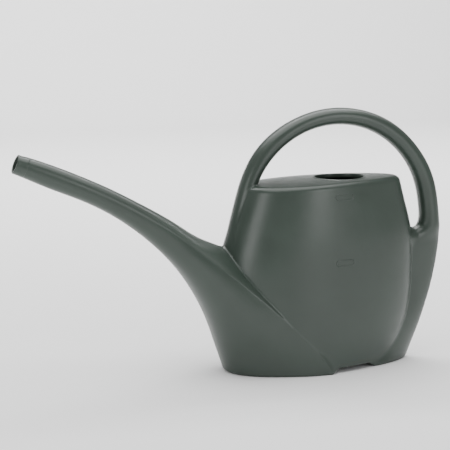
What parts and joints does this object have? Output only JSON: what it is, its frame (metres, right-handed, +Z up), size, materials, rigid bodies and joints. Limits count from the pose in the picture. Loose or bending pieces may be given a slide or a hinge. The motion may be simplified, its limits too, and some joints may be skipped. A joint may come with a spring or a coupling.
{
  "type": "watering can",
  "caption": "Small indoor watering can blow-moulded in one piece: oval tank with round fill opening, long curved tapering spout and hoop handle.",
  "frame": {"origin": "on the ground under the middle of the can's two feet", "axes": "+Z up; the spout points along -X and the back of the handle along +X; Y = 0 is the plane where the mould halves meet"},
  "size_m": [0.4051, 0.0928, 0.2385],
  "materials": {
    "moulding": "satin, fine moulded grain"
  },
  "bodies": {
    "root": {"base_seam": "moulding", "fill_rim": "moulding", "front_foot": "moulding", "handle_front_leg": "moulding", "handle_grip": "moulding", "handle_rear_leg": "moulding", "handle_root": "moulding", "lower_level_mark": "moulding", "rear_foot": "moulding", "spout_neck": "moulding", "spout_root": "moulding", "spout_tip": "moulding", "spout_tube": "moulding", "tank_floor": "moulding", "tank_wall": "moulding", "top_deck": "moulding", "upper_level_mark": "moulding"}
  },
  "joints": []
}
